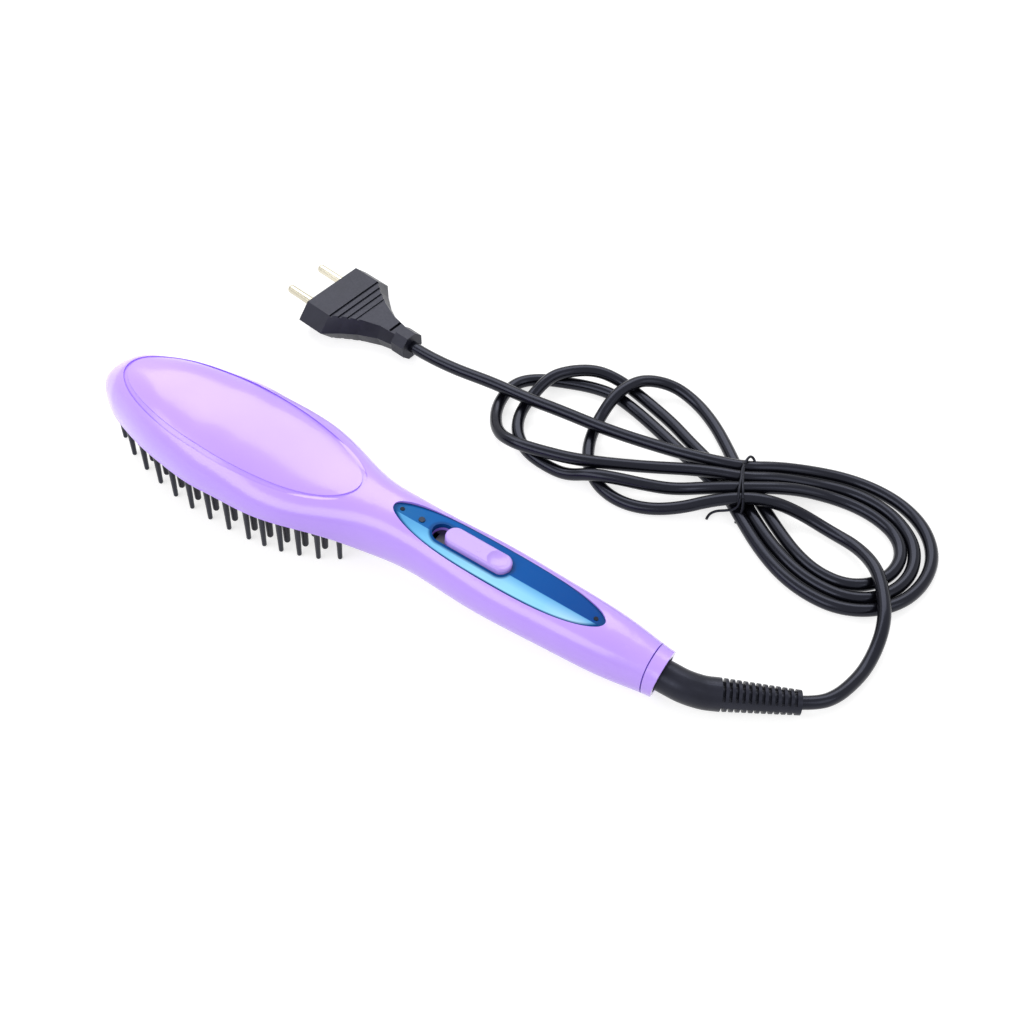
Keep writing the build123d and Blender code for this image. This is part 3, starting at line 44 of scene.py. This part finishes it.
scene = bpy.context.scene
MM = 0.001
BRUSH_MIDDLE = 133.451   # along X, in millimetres from the datum of the part's source


def metres(x, y, z):
    """Point of the part's source, in millimetres from its datum, as a point of this scene."""
    return Vector(((x - BRUSH_MIDDLE) * MM, y * MM, z * MM))


# ---- camera --------------------------------------------------------------------------------
CAMERA_PLACE = (0.23225, -0.2775, 0.4503)
CAMERA_FORWARD = (-0.3380, 0.5483, -0.7649)
CAMERA_RIGHT = (0.8513, 0.5247, 0.0)
CAMERA_LENS = 52.0
SENSOR_WIDTH = 36.0
NEAREST_SEEN = 0.01

forward = Vector(CAMERA_FORWARD).normalized()
right = Vector(CAMERA_RIGHT).normalized()
up = right.cross(forward)
camera_data = bpy.data.cameras.new("camera")
camera_data.lens = CAMERA_LENS
camera_data.sensor_width = SENSOR_WIDTH
camera_data.clip_start = NEAREST_SEEN
camera = bpy.data.objects.new("camera", camera_data)
scene.collection.objects.link(camera)
turn = Matrix((right, up, -forward)).transposed().to_4x4()
camera.matrix_world = Matrix.Translation(Vector(CAMERA_PLACE)) @ turn
scene.camera = camera

# ---- materials -----------------------------------------------------------------------------
NOISE_LOW = 0.3          # a noise's value that gets the first of two colours
NOISE_HIGH = 0.7         # and the one that gets the second
GRAIN_DEPTH = 0.0002


def linear(red, green, blue):
    """Colour given in 0 to 255, as the shader wants it."""
    def channel(value):
        v = value / 255
        return v / 12.92 if v <= 0.04045 else ((v + 0.055) / 1.055) ** 2.4
    return (channel(red), channel(green), channel(blue), 1.0)


def new_material(name, **sockets):
    made = bpy.data.materials.new(name)
    made.use_nodes = True
    shader = made.node_tree.nodes["Principled BSDF"]
    for socket, value in sockets.items():
        shader.inputs[socket.replace("_", " ")].default_value = value
    return made, made.node_tree, shader


def place_noise(tree, scale, detail=3.0, stretch=(1, 1, 1)):
    """Noise in the frame's own coordinates, stretched along an axis if asked."""
    coordinates = tree.nodes.new("ShaderNodeTexCoord")
    mapping = tree.nodes.new("ShaderNodeMapping")
    mapping.inputs["Scale"].default_value = stretch
    noise = tree.nodes.new("ShaderNodeTexNoise")
    noise.inputs["Scale"].default_value = scale
    noise.inputs["Detail"].default_value = detail
    tree.links.new(coordinates.outputs["Object"], mapping.inputs["Vector"])
    tree.links.new(mapping.outputs["Vector"], noise.inputs["Vector"])
    return noise


def ramp(tree, source, stops, interpolation="LINEAR"):
    made = tree.nodes.new("ShaderNodeValToRGB")
    made.color_ramp.interpolation = interpolation
    elements = made.color_ramp.elements
    while len(elements) < len(stops):
        elements.new(0.5)
    for element, (place, colour) in zip(elements, stops):
        element.position = place
        element.color = colour
    tree.links.new(source, made.inputs["Fac"])
    return made


def grey(value):
    return (value, value, value, 1.0)


def moulded(name, low, high, rough, spread=0.05, grain=900, bump=0.04, mottle=60, **sockets):
    """Moulded plastic, rubber or metal: two close colours, uneven gloss and a fine grain."""
    made, tree, shader = new_material(name, **sockets)
    cloud = place_noise(tree, mottle)
    colour = ramp(tree, cloud.outputs["Fac"], ((NOISE_LOW, low), (NOISE_HIGH, high)))
    tree.links.new(colour.outputs["Color"], shader.inputs["Base Color"])
    fine = place_noise(tree, grain, 2.0)
    gloss = ramp(tree, fine.outputs["Fac"], (
        (NOISE_LOW, grey(rough - spread)), (NOISE_HIGH, grey(rough + spread))))
    tree.links.new(gloss.outputs["Color"], shader.inputs["Roughness"])
    relief = tree.nodes.new("ShaderNodeBump")
    relief.inputs["Strength"].default_value = bump
    relief.inputs["Distance"].default_value = GRAIN_DEPTH
    tree.links.new(fine.outputs["Fac"], relief.inputs["Height"])
    tree.links.new(relief.outputs["Normal"], shader.inputs["Normal"])
    return made


def math_node(tree, operation, first, second=None):
    """Arithmetic on two values, each a socket or a number."""
    made = tree.nodes.new("ShaderNodeMath")
    made.operation = operation
    for socket, value in zip(made.inputs, (first, second)):
        if isinstance(value, (int, float)):
            socket.default_value = value
        elif value is not None:
            tree.links.new(value, socket)
    return made.outputs[0]


def mix_colour(tree, factor, under, over):
    mix = tree.nodes.new("ShaderNodeMix")
    mix.data_type = "RGBA"
    tree.links.new(factor, mix.inputs["Factor"])
    for socket, value in (("A", under), ("B", over)):
        if isinstance(value, tuple):
            mix.inputs[socket].default_value = value
        else:
            tree.links.new(value, mix.inputs[socket])
    return mix.outputs["Result"]


# Places on the control panel, in metres of this scene.
PANEL_MIDDLE = 0.05795
PANEL_HALF_LENGTH = 0.0452
PANEL_HALF_WIDTH = 0.0088
PANEL_RIDGE = -0.0022
PANEL_NEAR_WIDTH = 0.0066
LEAF_LENGTH_POWER = 2.66
LEAF_WIDTH_POWER = 2.0
SLOT_MIDDLE = 0.0470
SLOT_HALF_RUN = 0.0125
PER_CENTIMETRE = 100.0


def panel_film():
    """Blue film of the control panel: painted shade on the far facet, a painted reflection on the pale near
    one, and painted gap shadow deepening the edges and the slot's surround.
    """
    made, tree, shader = new_material("panel_film", Specular_IOR_Level=0.04)
    coordinates = tree.nodes.new("ShaderNodeTexCoord")
    split = tree.nodes.new("ShaderNodeSeparateXYZ")
    tree.links.new(coordinates.outputs["Object"], split.inputs["Vector"])
    x = split.outputs["X"]
    y = split.outputs["Y"]
    along = math_node(tree, "DIVIDE", math_node(tree, "SUBTRACT", x, PANEL_MIDDLE - PANEL_HALF_LENGTH),
                      2 * PANEL_HALF_LENGTH)
    # Painted shade: the far facet is a deeper blue, growing deeper along +X.
    painted_shade_far_facet = ramp(tree, along, (
        (0.0, linear(30, 104, 166)), (0.25, linear(6, 92, 170)), (0.6, linear(0, 82, 160)),
        (1.0, linear(0, 66, 142))))
    # Painted reflection: the near facet is pale cyan, brightest in a patch near the +X end.
    light = ramp(tree, along, (
        (0.0, linear(60, 140, 196)), (0.18, linear(120, 196, 240)), (0.45, linear(158, 222, 255)),
        (0.75, linear(150, 216, 255)), (0.92, linear(188, 228, 250)), (1.0, linear(120, 190, 236))))
    # Painted shade on the near facet, deepening towards the ridge.
    across = math_node(tree, "MULTIPLY", math_node(tree, "SUBTRACT", y, PANEL_RIDGE),
                       1 / PANEL_NEAR_WIDTH)
    painted_slope_shade = ramp(tree, math_node(tree, "ADD", across, 1.0), (
        (0.0, grey(0.0)), (0.5, grey(0.1)), (0.93, grey(0.75)), (1.0, grey(1.0))))
    near = mix_colour(tree, painted_slope_shade.outputs["Color"], light.outputs["Color"], linear(92, 164, 220))
    side = math_node(tree, "GREATER_THAN", y, PANEL_RIDGE)
    faces = mix_colour(tree, side, near, painted_shade_far_facet.outputs["Color"])
    # Painted gap shadow: a thin deeper blue band along the panel's leaf-shaped outline.
    reach = math_node(tree, "DIVIDE", math_node(tree, "ABSOLUTE", math_node(
        tree, "SUBTRACT", x, PANEL_MIDDLE)), PANEL_HALF_LENGTH)
    width = math_node(tree, "DIVIDE", math_node(tree, "ABSOLUTE", y), PANEL_HALF_WIDTH)
    leaf = math_node(tree, "ADD", math_node(tree, "POWER", reach, LEAF_LENGTH_POWER),
                     math_node(tree, "POWER", width, LEAF_WIDTH_POWER))
    painted_gap_shadow = ramp(tree, leaf, ((0.84, grey(0.0)), (0.95, grey(1.0))))
    with_gap_shadow = mix_colour(tree, painted_gap_shadow.outputs["Color"], faces, linear(14, 66, 124))
    # Painted gap shadow round the button's slot: deeper blue within about 5 mm of the slot's line, fading
    # out by 6 mm.
    run = math_node(tree, "MAXIMUM", math_node(tree, "SUBTRACT", math_node(
        tree, "ABSOLUTE", math_node(tree, "SUBTRACT", x, SLOT_MIDDLE)), SLOT_HALF_RUN), 0.0)
    round_slot = math_node(tree, "SQRT", math_node(tree, "ADD", math_node(
        tree, "MULTIPLY", run, run), math_node(tree, "MULTIPLY", y, y)))
    painted_slot_shadow = ramp(tree, math_node(tree, "MULTIPLY", round_slot, PER_CENTIMETRE),
                ((0.50, grey(1.0)), (0.60, grey(0.0))))
    with_slot_shadow = mix_colour(tree, painted_slot_shadow.outputs["Color"], with_gap_shadow, linear(20, 74, 138))
    tree.links.new(with_slot_shadow, shader.inputs["Base Color"])
    brushed = place_noise(tree, 500, 2.0, (0.05, 1, 1))
    gloss = ramp(tree, brushed.outputs["Fac"], ((NOISE_LOW, grey(0.16)), (NOISE_HIGH, grey(0.24))))
    tree.links.new(gloss.outputs["Color"], shader.inputs["Roughness"])
    return made


SOFT_BLACK = {"Specular_IOR_Level": 0.34, "Specular_Tint": (0.72, 0.76, 1.0, 1.0)}

MATERIALS = {
    "lilac_shell": moulded("lilac_plastic", linear(184, 146, 251), linear(191, 154, 255), 0.34,
                           spread=0.02, grain=1400, bump=0.006, mottle=25,
                           Coat_Weight=0.8, Coat_Roughness=0.16),
    "black_frame": moulded("black_plastic", linear(10, 10, 13), linear(18, 17, 22), 0.42, **SOFT_BLACK),
    "red_plate": moulded("red_enamel", linear(150, 14, 24), linear(184, 24, 36), 0.3,
                         spread=0.06, grain=700, bump=0.08, mottle=80, Coat_Weight=0.4),
    "heated_pin": moulded("heated_pin_coat", linear(12, 11, 15), linear(24, 20, 26), 0.38, **SOFT_BLACK),
    "tine": moulded("tine_plastic", linear(16, 17, 24), linear(28, 29, 38), 0.32,
                    spread=0.05, grain=900, bump=0.03, mottle=60, **SOFT_BLACK),
    "blue_panel": panel_film(),
    "button": moulded("button_plastic", linear(180, 148, 236), linear(188, 156, 242), 0.3,
                      spread=0.03, grain=1200, bump=0.01, mottle=40, Coat_Weight=0.3),
    "switch_plastic": moulded("switch_plastic", linear(40, 38, 60), linear(54, 50, 80), 0.45),
    "steel": moulded("steel", linear(120, 122, 128), linear(170, 172, 178), 0.3, spread=0.08, Metallic=1.0),
    "ceramic": moulded("ceramic", linear(208, 204, 196), linear(226, 222, 214), 0.6),
    "insulation": moulded("insulation", linear(196, 150, 60), linear(214, 170, 80), 0.3),
    "aluminium": moulded("aluminium", linear(176, 178, 182), linear(200, 202, 206), 0.35, Metallic=1.0),
    "fuse_metal": moulded("fuse_metal", linear(186, 188, 192), linear(214, 216, 220), 0.3, Metallic=1.0),
    "wire_white": moulded("wire_sleeve", linear(222, 222, 216), linear(236, 236, 230), 0.5),
    "board": moulded("board_green", linear(16, 84, 44), linear(26, 108, 58), 0.4),
    "lens": moulded("lens_smoke", linear(14, 32, 58), linear(22, 44, 76), 0.16, spread=0.03,
                    Specular_IOR_Level=0.2),
    "led": moulded("led_clear", linear(190, 214, 240), linear(214, 232, 250), 0.2),
    "cord": moulded("cord_sheath", linear(7, 7, 11), linear(13, 13, 19), 0.2,
                    spread=0.04, grain=1200, bump=0.02, mottle=90, **SOFT_BLACK),
    "tie": moulded("tie_wire", linear(5, 5, 8), linear(10, 10, 14), 0.4, **SOFT_BLACK),
    "plug": moulded("plug_rubber", linear(15, 15, 23), linear(25, 25, 35), 0.42,
                    spread=0.06, grain=1100, bump=0.1, mottle=120,
                    Specular_IOR_Level=0.4, Specular_Tint=(0.8, 0.82, 1.0, 1.0)),
    "plug_pin": moulded("plug_pin_nickel", linear(196, 190, 172), linear(222, 216, 198), 0.25, Metallic=1.0),
    "relief": moulded("relief_rubber", linear(14, 14, 20), linear(24, 24, 32), 0.36,
                      spread=0.06, grain=1100, bump=0.06, mottle=120, **SOFT_BLACK),
}
DARK_STEEL = moulded("blackened_steel", linear(8, 14, 30), linear(18, 26, 46), 0.45, spread=0.06,
                     Specular_IOR_Level=0.15)


def shade(piece, slot):
    piece.data.materials.clear()
    piece.data.materials.append(MATERIALS[slot])


for entry in frame["record"]["subparts"]:
    shade(nodes[entry["node"]], entry["material_slot"])
nodes["panel_screws"].data.materials[0] = DARK_STEEL

# ---- the cord ------------------------------------------------------------------------------
# Control points in millimetres, measured from the tie, in the order that the cord runs:
# strain relief, then rings about the left and the right of the tie in turn, then the plug.
TIE = (246.3, 99.4)
CORD_DIAMETER = 5.2
START_RUN = (
    (61.2, -80.8, 4.7), (66.9, -77.2, 4.3), (71.2, -71, 3.8), (73.7, -63, 3.2), (75.3, -54.4, 3.0),
    (75.5, -45.6, 4.6), (74.4, -37, 6.9), (71.8, -29, 8.2), (66.8, -19.6, 8.2), (60.5, -11.2, 7.8),
    (50.5, -3.6, 4.6), (38.5, -0.4, 2.6), (24.5, 0.2, 5), (14, -2.8, 8.4), (3.9, -6.9, 9),
)
LEFT_SMALL = (
    (-7, -13.8, 7.6), (-17.5, -22, 4.2), (-29, -28.2, 2.6), (-41, -30.6, 2.6), (-52.6, -27.2, 2.6),
    (-61.4, -19, 2.6), (-66.6, -8.6, 2.6), (-69.2, 2.6, 2.6), (-68.7, 13.6, 6.9), (-66.9, 21.6, 8.4),
    (-62.3, 31.2, 8), (-51, 37.4, 5), (-38.3, 35.2, 2.6), (-26.6, 27.9, 2.6), (-16.6, 19.2, 2.6),
    (-8, 10.6, 3), (2, 3.1, 3.2),
)
RIGHT_SMALL = (
    (12.6, -4.6, 2.8), (22, -11.6, 2.6), (31.8, -18, 2.6), (42.4, -22, 2.6), (53.6, -21.8, 2.6),
    (62.2, -16.4, 2.6), (67.2, -7.4, 2.6), (67, 3.2, 2.6), (61.2, 11.4, 2.6), (51.6, 15.8, 2.6),
    (40.6, 17.2, 2.6), (28.4, 15, 3.6), (16.2, 8, 7.4), (1.3, -2.4, 9),
)
LEFT_MIDDLE = (
    (-10.5, -9.2, 8.4), (-24, -15, 4.8), (-34.4, -20.6, 7), (-44, -24, 8), (-55, -27.4, 7.8),
    (-65.5, -29.4, 2.8), (-75.5, -29.2, 2.6), (-85.5, -27, 2.6), (-94, -21, 2.6), (-99.3, -11.5, 2.6),
    (-100.6, 0, 2.8), (-97.4, 11, 8.1), (-91.5, 19, 8.2), (-82.5, 25.2, 8), (-73, 27.6, 5.5),
    (-63, 27, 2.6), (-52.5, 23.2, 2.6), (-42, 19.2, 2.6), (-31.7, 13.9, 2.6), (-21, 8.8, 2.7),
    (-10.4, 3.6, 3), (-0.8, -1.3, 3.2),
)
RIGHT_MIDDLE = (
    (10.2, -10.8, 3), (21.6, -18.8, 2.6), (33.6, -25, 2.6), (45.6, -27.8, 2.6), (57.4, -27, 2.6),
    (67, -21, 2.6), (72.4, -11.2, 2.6), (73.2, 0, 2.6), (68.8, 11, 2.6), (59, 19, 2.6),
    (47.2, 22.8, 2.6), (34.6, 22.6, 2.6), (21.8, 18, 3.6), (9.4, 9.8, 7.6), (-1.2, 2.2, 9),
)
LEFT_LARGE = (
    (-12, -0.9, 8.8), (-22.5, -4.6, 8), (-37.8, -11.6, 7), (-51, -18.8, 8.1), (-65, -24.6, 8.2),
    (-79, -27.8, 8.2), (-90.5, -29.4, 8), (-101, -25.4, 4.6), (-108.4, -15.4, 2.6), (-111.4, -4.6, 2.6),
    (-110.4, 5.8, 2.6), (-103, 12.6, 2.6), (-92.5, 16.6, 2.6), (-82, 20, 2.6), (-71.5, 21.2, 2.6),
    (-60.5, 18.2, 2.6), (-48.6, 13.8, 2.6), (-36.2, 8.6, 2.6), (-24.8, 3.6, 2.7), (-13.8, -1.2, 3),
    (-3.6, -5.7, 3.2),
)
RIGHT_LARGE = (
    (5.4, -13.2, 3), (17, -22.2, 2.6), (29.4, -29.6, 2.6), (42, -33.4, 2.6), (55.4, -33.6, 2.6),
    (67.8, -27.6, 2.6), (76.2, -17, 2.6), (79.4, -4, 2.6), (77.6, 9.2, 2.6), (70, 20.2, 2.6),
    (58.8, 27, 2.6), (46, 29.6, 2.6), (32.6, 28.6, 2.8), (19.6, 23.6, 4.2), (7.2, 15.8, 7), (-3.7, 7, 9),
)
PLUG_RUN = (
    (-23.5, 1.8, 9), (-43.2, -1, 8.2), (-63.7, -3.2, 8), (-81.9, -4.1, 8.5), (-99.3, -5, 8.2),
    (-112.7, -4.5, 7.8), (-120.69, -4.82, 7.8), (-135.5, -5.4, 7.2), (-150.87, -4.38, 6.75),
    (-158.75, -3.0, 6.75),
)
CORD_ROUTE = (START_RUN + LEFT_SMALL + RIGHT_SMALL + LEFT_MIDDLE + RIGHT_MIDDLE + LEFT_LARGE
              + RIGHT_LARGE + PLUG_RUN)


CURVE_ORDER = 3
CURVE_STEPS = 8
ROUND_STEPS = 5


def curve_piece(name, points, radius, slot, cyclic=False):
    """Round tube along one NURBS spline that has these points as its control points."""
    data = bpy.data.curves.new(name, "CURVE")
    data.dimensions = "3D"
    spline = data.splines.new("NURBS")
    spline.points.add(len(points) - 1)
    for target, point in zip(spline.points, points):
        target.co = (*point, 1.0)
    spline.order_u = CURVE_ORDER
    spline.use_endpoint_u = not cyclic
    spline.use_cyclic_u = cyclic
    spline.resolution_u = CURVE_STEPS
    data.resolution_u = CURVE_STEPS
    data.bevel_depth = radius
    data.bevel_resolution = ROUND_STEPS
    data.use_fill_caps = True
    piece = bpy.data.objects.new(name, data)
    scene.collection.objects.link(piece)
    shade(piece, slot)
    return piece


def from_tie(x, y, z):
    return metres(TIE[0] + x, TIE[1] + y, z)


cord_points = [from_tie(*point) for point in CORD_ROUTE]

# ---- the wire tie ----------------------------------------------------------------------------
# Points in the tie's own frame: millimetres along the bundle, across it and up.
TIE_HEADING = math.radians(28.6)
TIE_WIRE_RADIUS = 0.55
TIE_LOOPS = (
    ((-0.6, -10.9, 6), (-1.4, -10.6, 10.2), (-1.6, -7.9, 12.1), (-1.5, -4, 12.3), (-1.2, 0, 12.3),
     (-0.8, 4, 12.3), (-0.4, 7.9, 12.1), (0.2, 10.8, 10.2), (0.6, 11.2, 6), (0.4, 9.8, 1.2), (0, 5, 0.6),
     (-0.2, 0, 0.6), (-0.3, -5, 0.6), (-0.4, -9.6, 1.2)),
    ((-2.4, -11, 6), (-3.4, -10.4, 10.4), (-3.2, -7.6, 12.4), (-2.6, -4, 12.5), (-1.9, -1, 12.6),
     (-1.5, 3, 12.6), (-0.2, 7, 12.4), (1.4, 10.4, 11.2), (1.2, 11.2, 6), (0.9, 9.8, 1.6), (0.3, 5, 1.0),
     (0, 0, 1.0), (-0.9, -5, 1.0), (-1.8, -9.6, 1.6)),
)
TIE_BOW = ((-0.2, 6.8, 12.6), (1.2, 9.6, 13.2), (2.9, 11.4, 12.2), (4.3, 10.6, 10.8), (4.6, 9.2, 9.8))
TIE_TAILS = (
    ((-2.6, -10.2, 11), (-2.8, -11.8, 8.6), (-4.6, -12.2, 6.2), (-8, -11.2, 4.2), (-11.4, -10.2, 2.6),
     (-14.2, -11.2, 1.4), (-15, -13.2, 0.8)),
    ((-1.6, -10.4, 11), (-1.2, -12.2, 8), (-1.8, -13.4, 5), (-2.6, -14.2, 2.4), (-3.6, -14.4, 0.8)),
)


def on_tie(along, across, height):
    cosine = math.cos(TIE_HEADING)
    sine = math.sin(TIE_HEADING)
    return from_tie(along * cosine - across * sine, along * sine + across * cosine, height)


tie_names = []
for number, loop in enumerate(TIE_LOOPS, start=1):
    tie_names.append(f"tie_loop_{number}")
    curve_piece(tie_names[-1], [on_tie(*p) for p in loop], TIE_WIRE_RADIUS * MM, "tie", cyclic=True)
for number, end in enumerate((TIE_BOW, *TIE_TAILS), start=1):
    tie_names.append(f"tie_end_{number}")
    curve_piece(tie_names[-1], [on_tie(*p) for p in end], TIE_WIRE_RADIUS * MM, "tie")
for name in tie_names:
    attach(bpy.data.objects[name], "housing")
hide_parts("twist_tie")

cord = curve_piece("mains_cord", cord_points, CORD_DIAMETER / 2 * MM, "cord")
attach(cord, "housing")
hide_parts("cord_relief_lead", "cord_hank", "cord_plug_lead")

# ---- floor, lamps and world ------------------------------------------------------------------
FLOOR_REACH = 6.0
FLOOR_HEIGHT = -0.0002
FLOOR_SEEN = 0.7
FLOOR_GLOW = 0.12
WORLD_SEEN = 1.0
WORLD_LIGHT = 0.5


def lit_for_camera(tree, target, seen, strength):
    """Strength seen where the camera or a mirror looks, and the other strength as light."""
    path = tree.nodes.new("ShaderNodeLightPath").outputs
    seen_by = math_node(tree, "MAXIMUM", path["Is Camera Ray"], path["Is Glossy Ray"])
    seen_by = math_node(tree, "MAXIMUM", seen_by, path["Is Transmission Ray"])
    span = tree.nodes.new("ShaderNodeMapRange")
    span.inputs["To Min"].default_value = strength
    span.inputs["To Max"].default_value = seen
    tree.links.new(seen_by, span.inputs["Value"])
    tree.links.new(span.outputs["Result"], target)


world = bpy.data.worlds.new("studio")
world.use_nodes = True
scene.world = world
background = world.node_tree.nodes["Background"]
background.inputs["Color"].default_value = (1, 1, 1, 1)
lit_for_camera(world.node_tree, background.inputs["Strength"], WORLD_SEEN, WORLD_LIGHT)

floor_mesh = bpy.data.meshes.new("floor")
grid = bmesh.new()
corners = [grid.verts.new((x * FLOOR_REACH, y * FLOOR_REACH, FLOOR_HEIGHT))
           for x, y in ((-1, -1), (1, -1), (1, 1), (-1, 1))]
grid.faces.new(corners)
grid.to_mesh(floor_mesh)
grid.free()
floor = bpy.data.objects.new("floor", floor_mesh)
scene.collection.objects.link(floor)
paper, paper_tree, paper_shader = new_material("paper", Roughness=0.9)
paper_shader.inputs["Base Color"].default_value = grey(0.48)
paper_shader.inputs["Emission Color"].default_value = (1, 1, 1, 1)
lit_for_camera(paper_tree, paper_shader.inputs["Emission Strength"], FLOOR_SEEN, FLOOR_GLOW)
floor_mesh.materials.append(paper)


def area_lamp(name, place, target, size, power):
    data = bpy.data.lights.new(name, "AREA")
    data.shape = "RECTANGLE"
    data.size, data.size_y = size
    data.energy = power
    lamp = bpy.data.objects.new(name, data)
    scene.collection.objects.link(lamp)
    lamp.location = place
    lamp.rotation_euler = (Vector(target) - Vector(place)).to_track_quat("-Z", "Y").to_euler()


area_lamp("overhead", (-0.42, 0.68, 0.98), (0.03, 0.03, 0), (1.4, 0.8), 10.5)
area_lamp("key", (-0.35, -0.9, 0.85), (0, 0, 0), (1.3, 0.7), 8.0)
area_lamp("fill", (1.0, -0.1, 0.8), (0, 0, 0), (0.6, 0.6), 1.5)

scene.view_settings.view_transform = "Standard"
